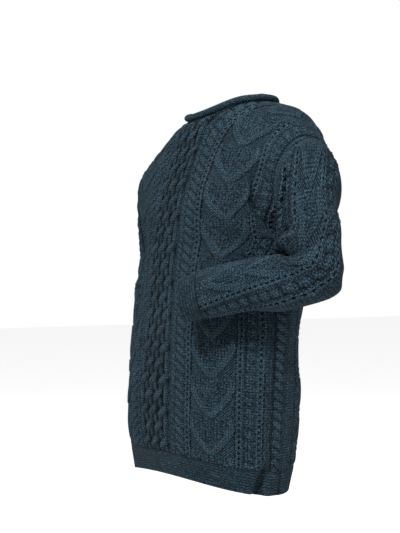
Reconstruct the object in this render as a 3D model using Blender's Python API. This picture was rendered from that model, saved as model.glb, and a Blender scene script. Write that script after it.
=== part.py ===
"""A cable-knit wool sweater, worn on a general figure and hollow, one arm bent across the belly.

Metres, +Z up. The figure faces -Y, so its left arm is on +X. The origin is midway between the two
high points of the shoulders, where the neck opening rests on the figure. All the knitted pieces are
first drawn together as one skin, the outer face of the cloth, from the tables of rows and rings
below. The skin is then cut along its seams, and each piece gets its own wall.
"""

from collections import namedtuple

import bmesh
import bpy
import numpy as np

# The cloth, and the seams between its pieces.
CLOTH = 0.004
SEAM_GAP = 0.0003
MITRE_MOST = 1.6
WELD = 0.00005

# The knitted lengths, from the hem up the middle of the body and back from the end of the sleeve.
HEM_BAND = 0.046
UNDERARM = 0.455
SHOULDER = 0.750
CUFF_BAND = 0.038

# The neck opening, as a share of half a panel's width, and how far it dips below the shoulder line.
NECK_SHARE = 0.37
NECK_DROP_FRONT = 0.056
NECK_DROP_BACK = 0.052

# The neckband: a low stand that leans in, and its rolled edge.
STAND = 0.010
STAND_LEAN = 0.30
ROLL_RADIUS = 0.0022
ROLL_TURN = 280.0
ROLL_STEPS = 7

# How finely each piece is faceted.
NECK_COLUMNS = 12
SHOULDER_COLUMNS = 6
BAND_ROWS = 2
LOWER_ROWS = 11
UPPER_ROWS = 11
SLEEVE_ROWS = 17
ROW_POINTS = 65

FRONT_SIDE = -1
BACK_SIDE = 1
LEFT_HAND = 1
RIGHT_HAND = -1

Row = namedtuple(
    "Row", "along mid_y mid_z edge_x edge_y edge_z mid_pull edge_pull turn drop"
)
Ring = namedtuple("Ring", "x y z tip_x tip_y tip_z face_x face_y face_z face_r side_r")
Fold = namedtuple("Fold", "across along lean length width height")

# A row for each height of a panel: the knitted length from the hem, the point at the middle, the
# point at the side seam or armhole, how far the row runs straight on from each, and at the armhole
# how far it turns from running straight back and how steeply it drops there.
FRONT_ROWS = (
    Row(0.000, -0.163, -0.675, 0.200, -0.045, -0.700, 0.60, 0.62, 0, 0.0),
    Row(0.046, -0.170, -0.632, 0.207, -0.045, -0.655, 0.60, 0.62, 0, 0.0),
    Row(0.150, -0.177, -0.535, 0.214, -0.043, -0.552, 0.60, 0.62, 0, 0.0),
    Row(0.260, -0.165, -0.432, 0.212, -0.034, -0.440, 0.60, 0.62, 0, 0.0),
    Row(0.350, -0.150, -0.345, 0.208, -0.022, -0.350, 0.60, 0.62, 0, 0.0),
    Row(0.455, -0.136, -0.242, 0.216, -0.008, -0.245, 0.58, 0.55, 0, 0.0),
    Row(0.520, -0.131, -0.180, 0.221, -0.062, -0.190, 0.55, 0.45, 42, 0.1),
    Row(0.580, -0.121, -0.122, 0.218, -0.070, -0.140, 0.50, 0.42, 50, 0.3),
    Row(0.640, -0.106, -0.066, 0.219, -0.055, -0.096, 0.42, 0.38, 60, 0.5),
    Row(0.690, -0.090, -0.018, 0.227, -0.024, -0.070, 0.36, 0.32, 70, 0.7),
    Row(0.720, -0.052, 0.009, 0.232, -0.004, -0.060, 0.40, 0.35, 80, 1.0),
    Row(0.750, 0.000, 0.017, 0.234, 0.010, -0.058, 0.45, 0.35, 90, 1.2),
)
BACK_ROWS = (
    Row(0.000, 0.040, -0.685, 0.200, -0.045, -0.700, 0.60, 0.62, 0, 0.0),
    Row(0.046, 0.054, -0.641, 0.207, -0.045, -0.655, 0.60, 0.62, 0, 0.0),
    Row(0.150, 0.067, -0.543, 0.214, -0.043, -0.552, 0.60, 0.62, 0, 0.0),
    Row(0.260, 0.070, -0.440, 0.212, -0.034, -0.440, 0.60, 0.62, 0, 0.0),
    Row(0.350, 0.078, -0.350, 0.208, -0.022, -0.350, 0.60, 0.62, 0, 0.0),
    Row(0.455, 0.100, -0.245, 0.216, -0.008, -0.245, 0.58, 0.58, 0, 0.0),
    Row(0.520, 0.115, -0.180, 0.223, 0.058, -0.190, 0.55, 0.48, 25, 0.1),
    Row(0.580, 0.120, -0.120, 0.219, 0.070, -0.140, 0.55, 0.50, 35, 0.4),
    Row(0.640, 0.112, -0.060, 0.221, 0.060, -0.096, 0.58, 0.52, 50, 0.8),
    Row(0.690, 0.088, 0.000, 0.228, 0.036, -0.070, 0.55, 0.50, 70, 1.0),
    Row(0.720, 0.052, 0.015, 0.232, 0.022, -0.060, 0.48, 0.40, 80, 1.1),
    Row(0.750, 0.000, 0.017, 0.234, 0.010, -0.058, 0.45, 0.35, 90, 1.2),
)

# A row for each section of a sleeve below its armhole: its centre, the way the sleeve runs there,
# the way its middle column faces, and its half width towards that column and square to it.
LEFT_RINGS = (
    Ring(0.248, -0.011, -0.158, 0.98, -0.05, -0.18, 0.14, -0.08, 0.97, 0.082, 0.072),
    Ring(0.256, -0.026, -0.200, 0.75, -0.08, -0.62, 0.60, -0.35, 0.70, 0.062, 0.060),
    Ring(0.276, -0.035, -0.248, 0.37, -0.12, -0.92, 0.75, -0.55, 0.40, 0.055, 0.054),
    Ring(0.289, -0.044, -0.303, -0.30, -0.42, -0.80, 0.72, -0.60, 0.25, 0.053, 0.060),
    Ring(0.263, -0.078, -0.317, -0.74, -0.65, -0.20, 0.69, -0.66, 0.25, 0.047, 0.050),
    Ring(0.218, -0.119, -0.323, -0.74, -0.65, -0.17, 0.69, -0.66, 0.25, 0.045, 0.046),
    Ring(0.171, -0.161, -0.334, -0.74, -0.65, -0.17, 0.69, -0.66, 0.25, 0.042, 0.044),
    Ring(0.122, -0.199, -0.350, -0.74, -0.65, -0.17, 0.69, -0.66, 0.25, 0.035, 0.039),
)
RIGHT_RINGS = (
    Ring(-0.249, 0.004, -0.160, -0.97, 0.05, -0.22, -0.17, 0.05, 0.97, 0.080, 0.062),
    Ring(-0.254, 0.010, -0.203, -0.72, 0.00, -0.68, -0.68, -0.20, 0.70, 0.056, 0.056),
    Ring(-0.266, 0.012, -0.258, -0.20, 0.00, -0.98, -0.90, -0.35, 0.20, 0.047, 0.052),
    Ring(-0.266, 0.003, -0.345, 0.03, -0.12, -1.00, -0.90, -0.40, 0.00, 0.047, 0.050),
    Ring(-0.265, -0.009, -0.425, 0.02, -0.15, -0.98, -0.90, -0.40, 0.00, 0.045, 0.047),
    Ring(-0.263, -0.022, -0.500, 0.05, -0.17, -0.97, -0.90, -0.40, 0.00, 0.041, 0.043),
    Ring(-0.259, -0.031, -0.555, 0.05, -0.17, -0.97, -0.90, -0.40, 0.00, 0.035, 0.038),
)

# The neck opening sits higher on the side of the bent arm: how much, for each metre to the left,
# from which knitted length upwards.
NECK_TILT = 0.125
TILT_START = 0.56

# A row for each large fold: where its middle lies, across as a share of the panel's half width (or
# of half a turn of a sleeve, towards its front) and along in knitted metres, how far it leans from
# running along, half its length and width, and how far it stands out.
FRONT_FOLDS = (
    Fold(0.70, 0.362, 85, 0.180, 0.085, -0.011),
    Fold(0.88, 0.020, 20, 0.090, 0.035, 0.006),
    Fold(-0.45, 0.300, -6, 0.240, 0.055, -0.004),
)
BACK_FOLDS = (
    Fold(0.78, 0.270, 80, 0.120, 0.090, -0.008),
    Fold(0.52, 0.300, 5, 0.300, 0.060, -0.006),
    Fold(-0.40, 0.320, -5, 0.300, 0.060, -0.006),
    Fold(-0.75, 0.260, 8, 0.300, 0.050, 0.004),
)
LEFT_FOLDS = (
    Fold(0.66, 0.135, 80, 0.080, 0.034, 0.012),
    Fold(0.60, 0.180, 80, 0.080, 0.036, -0.008),
    Fold(-0.55, 0.120, 75, 0.100, 0.036, 0.004),
)
RIGHT_FOLDS = (
    Fold(0.45, 0.170, 75, 0.100, 0.040, -0.006),
    Fold(0.55, 0.230, 80, 0.100, 0.036, 0.005),
    Fold(-0.50, 0.200, -75, 0.100, 0.036, -0.005),
)
PANEL_HALF = 0.27
SLEEVE_HALF = 0.17
BODY_AXIS_Y = -0.04

# The folds die out towards the edges of a panel, and towards the armhole of a sleeve.
EDGE_POWER = 8
SLEEVE_FADE = 0.05

WOOL_COLOUR = (0.035, 0.075, 0.105, 1)
WOOL_ROUGHNESS = 0.95

PIECES = (
    "front",
    "back",
    "hem_front",
    "hem_back",
    "sleeve_left",
    "sleeve_right",
    "cuff_left",
    "cuff_right",
    "neckband",
)


def unit(vector):
    """A vector's direction."""
    return np.asarray(vector, float) / np.linalg.norm(vector)


def curve_through(keys, values, at):
    """The values at one place, on a smooth curve through those at the keys."""
    steps = np.diff(keys)
    shape = (-1,) + (1,) * (values.ndim - 1)
    slopes = np.diff(values, axis=0) / steps.reshape(shape)
    before, after = steps[:-1].reshape(shape), steps[1:].reshape(shape)
    inner = (slopes[:-1] * after + slopes[1:] * before) / (before + after)
    tangents = np.concatenate([slopes[:1], inner, slopes[-1:]])
    i = int(np.clip(np.searchsorted(keys, at, side="right") - 1, 0, len(steps) - 1))
    t = (at - keys[i]) / steps[i]
    start = (1 + 2 * t) * (1 - t) ** 2 * values[i] + t * (1 - t) ** 2 * steps[i] * tangents[i]
    end = t * t * (3 - 2 * t) * values[i + 1] + t * t * (t - 1) * steps[i] * tangents[i + 1]
    return start + end


def point_at(line, share):
    """The point at a share of a line's whole length."""
    steps = np.linalg.norm(np.diff(line, axis=0), axis=1)
    lengths = np.concatenate([[0.0], np.cumsum(steps)])
    return np.array([np.interp(share * lengths[-1], lengths, line[:, k]) for k in range(3)])


def half_row(table, side, along):
    """The points of half a knitted row, from the middle of a panel to its edge."""
    values = np.array(table, float)
    alongs = values[:, 0]
    row = Row(*curve_through(alongs, values, along))
    stretch = values[alongs <= UNDERARM if along <= UNDERARM else alongs >= UNDERARM]
    edge_row = Row(*curve_through(stretch[:, 0], stretch, along))
    middle = np.array([0.0, row.mid_y, row.mid_z])
    edge = np.array([edge_row.edge_x, edge_row.edge_y, edge_row.edge_z])
    turn = np.radians(edge_row.turn)
    heading = np.array([np.sin(turn), -side * np.cos(turn), -edge_row.drop])
    depth = abs(edge[1] - row.mid_y) * np.cos(turn) + edge[0] * np.sin(turn) / 2
    middle_handle = middle + [row.mid_pull * edge[0], 0, 0]
    edge_handle = edge - heading * row.edge_pull * depth
    t = np.linspace(0, 1, ROW_POINTS)[:, None]
    return (
        (1 - t) ** 3 * middle
        + 3 * t * (1 - t) ** 2 * middle_handle
        + 3 * t * t * (1 - t) * edge_handle
        + t**3 * edge
    )


def fold_height(folds, aside, along):
    """How far the folds raise a point of the cloth; aside gives its way across from each fold."""
    total = 0.0
    for fold in folds:
        across, up = aside(fold.across), along - fold.along
        lean = np.radians(fold.lean)
        lengthwise = up * np.cos(lean) + across * np.sin(lean)
        crosswise = across * np.cos(lean) - up * np.sin(lean)
        reach = (lengthwise / fold.length) ** 2 + (crosswise / fold.width) ** 2
        total += fold.height * max(1 - reach, 0) ** 2
    return total


def panel_point(table, side, folds, across, along):
    """A point of a panel's outer face; across runs from -1 at the right to 1 at the left."""
    point = point_at(half_row(table, side, along), abs(across))
    if across < 0:
        point[0] = -point[0]
    rise = np.clip((along - TILT_START) / (SHOULDER - TILT_START), 0, 1)
    point[2] += NECK_TILT * point[0] * (1 - across**2) * rise * rise * (3 - 2 * rise)
    height = fold_height(folds, lambda middle: (across - middle) * PANEL_HALF, along)
    outward = unit([point[0], point[1] - BODY_AXIS_Y, 0])
    return point + outward * height * (1 - across**EDGE_POWER)


def panel_columns():
    """The places of the columns across a panel, even along the neckline and along the shoulders."""
    neck = NECK_SHARE * np.sin(np.linspace(-np.pi / 2, np.pi / 2, NECK_COLUMNS + 1))
    shoulder = np.linspace(NECK_SHARE, 1, SHOULDER_COLUMNS + 1)[1:]
    return np.concatenate([-shoulder[::-1], neck, shoulder])


def column_top(across, drop):
    """The knitted length at which the neckline or the shoulder seam ends a column."""
    inside = max(1 - (across / NECK_SHARE) ** 2, 0.0)
    return SHOULDER - drop * np.sqrt(inside)


def panel_grid(table, side, folds, drop, start, end, rows):
    """The points of a stretch of a panel; with no end it reaches the neckline and the shoulders."""
    columns = []
    for across in panel_columns():
        alongs = np.linspace(start, end or column_top(across, drop), rows + 1)
        columns.append([panel_point(table, side, folds, across, at) for at in alongs])
    return np.array(columns).transpose(1, 0, 2)


def armhole_ring(front, back, hand):
    """The points of an armhole, from the shoulder down the front edge and up the back edge."""
    column = -1 if hand == LEFT_HAND else 0
    return np.vstack([front[::-1, column], back[1:, column]])


def sleeve_ring(ring, hand, count):
    """The points round one section of a sleeve, from its middle column to the front and round."""
    tip = unit([ring.tip_x, ring.tip_y, ring.tip_z])
    face = np.array([ring.face_x, ring.face_y, ring.face_z])
    face = unit(face - tip * (face @ tip))
    side = np.cross(tip, face) * hand
    turn = np.linspace(0, 2 * np.pi, count)[:, None]
    centre = np.array([ring.x, ring.y, ring.z])
    return centre + face * ring.face_r * np.cos(turn) + side * ring.side_r * np.sin(turn)


def fold_sleeve(ring, folds, along):
    """Raises the folds on one ring of a sleeve, outward from the ring's centre."""
    centre = ring[:-1].mean(axis=0)
    fade = min(along / SLEEVE_FADE, 1)
    raised = []
    for share, point in zip(np.linspace(0, 2, len(ring)), ring):
        height = fold_height(
            folds, lambda middle: ((share - middle + 1) % 2 - 1) * SLEEVE_HALF, along
        )
        raised.append(point + unit(point - centre) * height * fade)
    return raised


def sleeve_grids(armhole, table, folds, hand):
    """The points of a sleeve, and those of its cuff."""
    rings = np.array([armhole] + [sleeve_ring(ring, hand, len(armhole)) for ring in table])
    centres = rings[:, :-1].mean(axis=1)
    steps = np.linalg.norm(np.diff(centres, axis=0), axis=1)
    keys = np.concatenate([[0.0], np.cumsum(steps)])
    cuff = keys[-1] - CUFF_BAND
    grids = []
    for alongs in (
        np.linspace(0, cuff, SLEEVE_ROWS + 1),
        np.linspace(cuff, keys[-1], BAND_ROWS + 1),
    ):
        grid = [fold_sleeve(curve_through(keys, rings, at), folds, at) for at in alongs]
        grids.append(np.array(grid))
    return grids


def neckband_grid(front, back):
    """The points of the neckband, up from the neckline and round its outward roll."""
    first = SHOULDER_COLUMNS
    last = first + NECK_COLUMNS
    seam = np.vstack([front[-1, first : last + 1], back[-1, first:last][::-1]])
    along = np.roll(seam[:-1], -1, axis=0) - np.roll(seam[:-1], 1, axis=0)
    along = np.array([unit(step) for step in np.vstack([along, along[:1]])])
    inward = np.array([unit(np.cross([0, 0, 1], step)) for step in along])
    rise = np.cross(along, inward)
    rise = np.array([unit(way) for way in rise + inward * STAND_LEAN])
    outward = np.cross(along, rise)
    top = seam + rise * STAND
    rows = [seam, top]
    for turn in np.radians(np.linspace(0, ROLL_TURN, ROLL_STEPS + 1)[1:]):
        way = outward * (1 - np.cos(turn)) + rise * np.sin(turn)
        rows.append(top + way * ROLL_RADIUS)
    return np.array(rows)


def add_sheet(skin, points, piece):
    """Adds a grid of points to the skin, as faces that belong to one piece."""
    rows, columns = points.shape[:2]
    made = bmesh.ops.create_grid(skin, x_segments=columns - 1, y_segments=rows - 1, size=1)
    for vert in made["verts"]:
        column = round((vert.co.x + 1) / 2 * (columns - 1))
        row = round((vert.co.y + 1) / 2 * (rows - 1))
        vert.co = points[row, column]
    for face in {face for vert in made["verts"] for face in vert.link_faces}:
        face.material_index = PIECES.index(piece)


def make_skin():
    """Draws every piece's outer face in one mesh, joined along the seams."""
    skin = bmesh.new()
    uppers = []
    for name, table, side, folds, drop in (
        ("front", FRONT_ROWS, FRONT_SIDE, FRONT_FOLDS, NECK_DROP_FRONT),
        ("back", BACK_ROWS, BACK_SIDE, BACK_FOLDS, NECK_DROP_BACK),
    ):
        band = panel_grid(table, side, folds, drop, 0, HEM_BAND, BAND_ROWS)
        lower = panel_grid(table, side, folds, drop, HEM_BAND, UNDERARM, LOWER_ROWS)
        upper = panel_grid(table, side, folds, drop, UNDERARM, None, UPPER_ROWS)
        add_sheet(skin, band, "hem_" + name)
        add_sheet(skin, np.vstack([lower, upper[1:]]), name)
        uppers.append(upper)
    for name, table, folds, hand in (
        ("left", LEFT_RINGS, LEFT_FOLDS, LEFT_HAND),
        ("right", RIGHT_RINGS, RIGHT_FOLDS, RIGHT_HAND),
    ):
        upper, lower = sleeve_grids(armhole_ring(*uppers, hand), table, folds, hand)
        add_sheet(skin, upper, "sleeve_" + name)
        add_sheet(skin, lower, "cuff_" + name)
    add_sheet(skin, neckband_grid(*uppers), "neckband")
    bmesh.ops.remove_doubles(skin, verts=skin.verts, dist=WELD)
    bmesh.ops.recalc_face_normals(skin, faces=skin.faces)
    return skin


def mark_walls(skin):
    """Stores at each point of the skin its number and its way through the wall."""
    skin.normal_update()
    number = skin.verts.layers.int.new("number")
    inward = skin.verts.layers.float_vector.new("inward")
    for index, vert in enumerate(skin.verts):
        depth = CLOTH * min(vert.calc_shell_factor(), MITRE_MOST)
        vert[number] = index
        vert[inward] = -vert.normal * depth


def seam_moves(sheet, inward):
    """How far each point on a piece's edge moves back from its seams."""
    ways = {}
    for edge in sheet.edges:
        if edge.is_boundary:
            ends = edge.verts
            middle = (ends[0].co + ends[1].co) / 2
            way = (ends[1].co - ends[0].co).cross(ends[0][inward] + ends[1][inward]).normalized()
            if way.dot(edge.link_faces[0].calc_center_median() - middle) < 0:
                way = -way
            for vert in ends:
                ways.setdefault(vert, []).append(way)
    moves = {}
    for vert, (one, other) in ways.items():
        moves[vert] = (one + other) * SEAM_GAP / 2 / (1 + one.dot(other))
    return moves


def cut_piece(skin, piece):
    """Cuts one piece out of the skin and gives it its wall."""
    sheet = skin.copy()
    others = [face for face in sheet.faces if face.material_index != PIECES.index(piece)]
    bmesh.ops.delete(sheet, geom=others, context="FACES")
    number = sheet.verts.layers.int["number"]
    inward = sheet.verts.layers.float_vector["inward"]
    for vert, move in seam_moves(sheet, inward).items():
        vert.co += move
    outer = set(sheet.verts)
    made = bmesh.ops.extrude_face_region(sheet, geom=sheet.faces[:])
    inner = {item for item in made["geom"] if isinstance(item, bmesh.types.BMVert)}
    for vert in inner:
        vert.co += vert[inward]
    for face in sheet.faces[:]:
        rim = [vert for vert in face.verts if vert in outer]
        if len(rim) == 2:
            start = min(rim, key=lambda vert: vert[number])
            ends = [vert for vert in face.verts if vert in inner and vert[number] != start[number]]
            bmesh.utils.face_split(face, start, ends[0])
    for face in sheet.faces:
        face.material_index = 0
        face.smooth = True
    bmesh.ops.recalc_face_normals(sheet, faces=sheet.faces)
    return sheet


def wool():
    """Heathered blue-green wool."""
    material = bpy.data.materials.new("wool")
    material.use_nodes = True
    shader = material.node_tree.nodes["Principled BSDF"]
    shader.inputs["Base Color"].default_value = WOOL_COLOUR
    shader.inputs["Roughness"].default_value = WOOL_ROUGHNESS
    shader.inputs["Metallic"].default_value = 0
    return material


def build():
    """Clears the scene and builds the sweater."""
    for item in list(bpy.data.objects):
        bpy.data.objects.remove(item, do_unlink=True)
    skin = make_skin()
    mark_walls(skin)
    for piece in PIECES:
        sheet = cut_piece(skin, piece)
        mesh = bpy.data.meshes.new(piece)
        sheet.to_mesh(mesh)
        sheet.free()
        material = wool()
        material.name = "wool_" + piece
        mesh.materials.append(material)
        bpy.context.scene.collection.objects.link(bpy.data.objects.new(piece, mesh))
    skin.free()


build()
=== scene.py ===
from collections import namedtuple

import bmesh
import bpy
import numpy as np
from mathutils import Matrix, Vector


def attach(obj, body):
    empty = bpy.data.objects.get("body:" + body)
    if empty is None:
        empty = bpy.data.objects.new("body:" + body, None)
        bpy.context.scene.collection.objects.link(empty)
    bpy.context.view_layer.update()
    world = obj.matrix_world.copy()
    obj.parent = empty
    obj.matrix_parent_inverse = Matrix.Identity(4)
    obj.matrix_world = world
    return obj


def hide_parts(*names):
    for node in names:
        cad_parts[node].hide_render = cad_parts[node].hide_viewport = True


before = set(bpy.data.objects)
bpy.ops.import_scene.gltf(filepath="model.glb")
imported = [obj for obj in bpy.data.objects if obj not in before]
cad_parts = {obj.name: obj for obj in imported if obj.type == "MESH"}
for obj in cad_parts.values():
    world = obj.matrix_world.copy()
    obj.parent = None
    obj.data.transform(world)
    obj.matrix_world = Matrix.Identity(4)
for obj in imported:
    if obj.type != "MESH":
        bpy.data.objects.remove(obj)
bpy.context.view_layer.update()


# ---- Camera ----
# The camera stands level with the sweater's belly, in front and to its left.
VIEW_BEARING = np.radians(55.0)
VIEW_DISTANCE = 2.4
VIEW_AIM = Vector((-0.0143, -0.0655, -0.29))
VIEW_LENS = 84.3

towards_camera = Vector((np.sin(VIEW_BEARING), -np.cos(VIEW_BEARING), 0))
camera_data = bpy.data.cameras.new("camera")
camera_data.lens = VIEW_LENS
camera = bpy.data.objects.new("camera", camera_data)
camera.location = VIEW_AIM + towards_camera * VIEW_DISTANCE
camera.rotation_euler = (-towards_camera).to_track_quat("-Z", "Y").to_euler()
bpy.context.scene.collection.objects.link(camera)
bpy.context.scene.camera = camera


# ---- Studio ----
# A plain pale floor well below the hem, a white room, and large soft lamps. The floor and the room
# look brighter to the camera than the light that they give.
FLOOR_HEIGHT = -1.05
FLOOR_HALF = 12.0
FLOOR_COLOUR = (0.92, 0.92, 0.92, 1)
FLOOR_ROUGHNESS = 0.9
FLOOR_GLOW, FLOOR_GLOW_SEEN = 0.15, 0.76
ROOM_LIGHT, ROOM_LIGHT_SEEN = 0.17, 1.0
WHITE = (1, 1, 1, 1)
LAMPS_AIM = Vector((0, 0, -0.3))


def shine(tree, strength, given, seen):
    """Sets how strongly a surface shines: on the scene, and as the camera sees it."""
    path = tree.nodes.new("ShaderNodeLightPath")
    level = tree.nodes.new("ShaderNodeMapRange")
    level.inputs["To Min"].default_value = given
    level.inputs["To Max"].default_value = seen
    tree.links.new(path.outputs["Is Camera Ray"], level.inputs["Value"])
    tree.links.new(level.outputs["Result"], strength)


floor_mesh = bpy.data.meshes.new("floor")
floor_shape = bmesh.new()
bmesh.ops.create_grid(floor_shape, x_segments=1, y_segments=1, size=FLOOR_HALF)
bmesh.ops.translate(floor_shape, verts=floor_shape.verts, vec=(0, 0, FLOOR_HEIGHT))
floor_shape.to_mesh(floor_mesh)
floor_shape.free()
floor = bpy.data.objects.new("floor", floor_mesh)
bpy.context.scene.collection.objects.link(floor)
floor_paint = bpy.data.materials.new("floor_paint")
floor_paint.use_nodes = True
floor_shader = floor_paint.node_tree.nodes["Principled BSDF"]
floor_shader.inputs["Base Color"].default_value = FLOOR_COLOUR
floor_shader.inputs["Roughness"].default_value = FLOOR_ROUGHNESS
floor_shader.inputs["Emission Color"].default_value = WHITE
floor_strength = floor_shader.inputs["Emission Strength"]
shine(floor_paint.node_tree, floor_strength, FLOOR_GLOW, FLOOR_GLOW_SEEN)
floor_mesh.materials.append(floor_paint)

room = bpy.data.worlds.new("room")
room.use_nodes = True
backdrop = room.node_tree.nodes["Background"]
backdrop.inputs["Color"].default_value = WHITE
shine(room.node_tree, backdrop.inputs["Strength"], ROOM_LIGHT, ROOM_LIGHT_SEEN)
bpy.context.scene.world = room
bpy.context.scene.view_settings.view_transform = "Standard"

# A row for each lamp: its name, where it stands, its side in metres and its watts.
for lamp_name, lamp_place, lamp_side, lamp_power in (
    ("key", (1.3, -2.1, 2.1), 0.8, 112),
    ("side", (2.6, 0.6, 0.9), 1.2, 20),
    ("top", (0.2, 0.3, 2.3), 1.2, 12),
):
    lamp_data = bpy.data.lights.new(lamp_name, "AREA")
    lamp_data.size = lamp_side
    lamp_data.energy = lamp_power
    lamp = bpy.data.objects.new(lamp_name, lamp_data)
    lamp.location = lamp_place
    aim = LAMPS_AIM - Vector(lamp_place)
    lamp.rotation_euler = aim.to_track_quat("-Z", "Y").to_euler()
    bpy.context.scene.collection.objects.link(lamp)


# ---- Front piece ----
# The front of the body, knitted in thick heathered wool from the hem band up to the shoulders,
# with a broad plait up its middle and on each side a twist, a rope, a ladder, a panel of hearts
# filled with moss stitch, and a second ladder that follows the armhole. It is sewn along its edges.

# How thick the cloth is, and how far the ground between the cables lies below its smooth face.
CLOTH = 0.004
GROUND = 0.0019

# Knitted lengths from the hem: to the top of the band, the underarm and the shoulder seam, and to
# where the yoke begins to slope towards the right side.
HEM_BAND = 0.046
UNDERARM = 0.455
SHOULDER = 0.750
TILT_START = 0.56
NECK_TILT = 0.125

# Half the piece's nominal width, the neckline's share of it, and how deep the neckline is scooped.
PANEL_HALF = 0.27
NECK_SHARE = 0.37
NECK_DROP_FRONT = 0.056

# Folds stand out from an upright line this far forward, and die away at the seams, more abruptly
# the higher the power. The front faces forward.
BODY_AXIS_Y = -0.04
EDGE_POWER = 14
FRONT_SIDE = -1

Row = namedtuple("Row", "along mid_y mid_z edge_x edge_y edge_z mid_pull edge_pull turn drop")
Fold = namedtuple("Fold", "across along lean length width height")
Rope = namedtuple("Rope", "middle half repeat lean relief")

# A row for each height of the piece: the knitted length from the hem, the point at the middle,
# the point at the side, how far the row runs straight on from each, and its heading at the armhole.
FRONT_ROWS = (
    Row(0.000, -0.163, -0.675, 0.200, -0.045, -0.700, 0.60, 0.62, 0, 0.0),
    Row(0.046, -0.170, -0.632, 0.207, -0.045, -0.655, 0.60, 0.62, 0, 0.0),
    Row(0.150, -0.177, -0.535, 0.214, -0.043, -0.552, 0.60, 0.62, 0, 0.0),
    Row(0.260, -0.165, -0.432, 0.212, -0.034, -0.440, 0.60, 0.62, 0, 0.0),
    Row(0.350, -0.150, -0.345, 0.208, -0.022, -0.350, 0.60, 0.62, 0, 0.0),
    Row(0.455, -0.136, -0.242, 0.216, -0.008, -0.245, 0.58, 0.55, 0, 0.0),
    Row(0.520, -0.131, -0.180, 0.221, -0.062, -0.190, 0.55, 0.45, 42, 0.1),
    Row(0.580, -0.121, -0.122, 0.218, -0.070, -0.140, 0.50, 0.42, 50, 0.3),
    Row(0.640, -0.106, -0.066, 0.219, -0.055, -0.096, 0.42, 0.38, 60, 0.5),
    Row(0.690, -0.090, -0.018, 0.227, -0.024, -0.070, 0.36, 0.32, 70, 0.7),
    Row(0.720, -0.052, 0.009, 0.232, -0.004, -0.060, 0.40, 0.35, 80, 1.0),
    Row(0.750, 0.000, 0.017, 0.234, 0.010, -0.058, 0.45, 0.35, 90, 1.2),
)

# A row for each large fold: where its middle lies, how far it leans from running along the piece,
# half its length and width, and how far it stands out.
FRONT_FOLDS = (
    Fold(0.70, 0.362, 85, 0.180, 0.085, -0.011),
    Fold(0.88, 0.020, 20, 0.090, 0.035, 0.006),
    Fold(-0.45, 0.300, -6, 0.240, 0.055, -0.004),
)

# Smaller creases: the hollow beside the left armhole, the pucker at the left end of the hem band,
# and slack above and below the forearm.
FRONT_CREASES = (
    Fold(0.90, 0.515, -6, 0.105, 0.034, -0.034),
    Fold(0.80, 0.560, -10, 0.080, 0.022, 0.003),
    Fold(0.97, 0.475, 10, 0.070, 0.024, -0.024),
    Fold(0.52, 0.420, 62, 0.090, 0.020, 0.003),
    Fold(0.810, 0.040, 14, 0.060, 0.016, 0.006),
    Fold(0.872, 0.022, 18, 0.060, 0.020, -0.030),
    Fold(0.935, 0.034, 10, 0.075, 0.020, 0.012),
    Fold(0.15, 0.180, -4, 0.150, 0.040, -0.003),
    Fold(-0.86, 0.520, 8, 0.080, 0.026, -0.012),
    Fold(-0.70, 0.110, -10, 0.090, 0.030, 0.004),
)

# A row for each height again: the knitted length, then how far across the piece, from -1 at the
# right side to 1 at the left, these lie: the right side's outer ladder, hearts and inner ladder,
# the middle of the plait, and the left side's three; then the pattern's width to each side.
FRONT_COLUMNS = (
    (0.000, -0.760, -0.565, -0.376, -0.030, 0.313, 0.505, 0.706, 0.271, 0.289),
    (0.080, -0.760, -0.565, -0.376, -0.030, 0.316, 0.505, 0.704, 0.271, 0.289),
    (0.180, -0.760, -0.565, -0.380, -0.035, 0.318, 0.500, 0.696, 0.271, 0.289),
    (0.300, -0.790, -0.600, -0.420, -0.085, 0.270, 0.472, 0.680, 0.265, 0.290),
    (0.437, -0.830, -0.650, -0.490, -0.150, 0.240, 0.475, 0.680, 0.249, 0.288),
    (0.478, -0.840, -0.655, -0.480, -0.140, 0.255, 0.530, 0.739, 0.247, 0.265),
    (0.545, -0.864, -0.655, -0.450, -0.110, 0.289, 0.600, 0.862, 0.236, 0.236),
    (0.610, -0.885, -0.645, -0.420, -0.055, 0.351, 0.640, 0.885, 0.230, 0.230),
    (0.670, -0.840, -0.635, -0.415, -0.010, 0.404, 0.635, 0.836, 0.238, 0.238),
    (0.700, -0.825, -0.640, -0.448, 0.000, 0.448, 0.640, 0.822, 0.240, 0.240),
    (0.750, -0.880, -0.680, -0.520, 0.000, 0.520, 0.680, 0.880, 0.232, 0.232),
)

# The knitted pattern, as metres from the middle of the plait: the middle and half the width of
# each column, how often it repeats along the piece, and how far it stands out.
PLAIT_SLOT, PLAIT_CROSSING, PLAIT_RELIEF = 0.0155, 0.0315, 0.0072
TWIST = Rope(0.0582, 0.0052, 0.0105, 0.70, 0.0034)
BROAD_ROPE = Rope(0.0780, 0.0130, 0.0172, 0.62, 0.0050)
SIDE_ROPE = Rope(0.2765, 0.0090, 0.0172, 0.62, 0.0035)
INNER_LADDER, OUTER_LADDER, SIDE_LADDER = 0.098, 0.204, 0.241
LADDER_RAIL, LADDER_RAIL_HALF, LADDER_REPEAT, LADDER_RELIEF = 0.0039, 0.0031, 0.0105, 0.0026
HEARTS_MIDDLE, HEARTS_HALF, HEARTS_START, HEARTS_REPEAT = 0.149, 0.043, 0.061, 0.0724
HEART_ARM_HALF, HEART_RELIEF, MOSS_GROUND, MOSS_RELIEF = 0.0062, 0.0030, 0.0006, 0.0012
LUMPS_MIDDLE, LUMPS_HALF, LUMPS_REPEAT, LUMPS_RELIEF = 0.2225, 0.0098, 0.0200, 0.0042
SIDE_SEAM, SIDE_SEAM_HALF, SIDE_SEAM_DEPTH = 0.2575, 0.0022, 0.0011
# A line of painted shade beside the left side seam, where the cloth has no groove: its middle and
# half width.
SIDE_SHADE_LINE, SIDE_SHADE_LINE_HALF = 0.2645, 0.0030
PLAIN_RELIEF, PLAIN_START = 0.0016, 0.006
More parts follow.
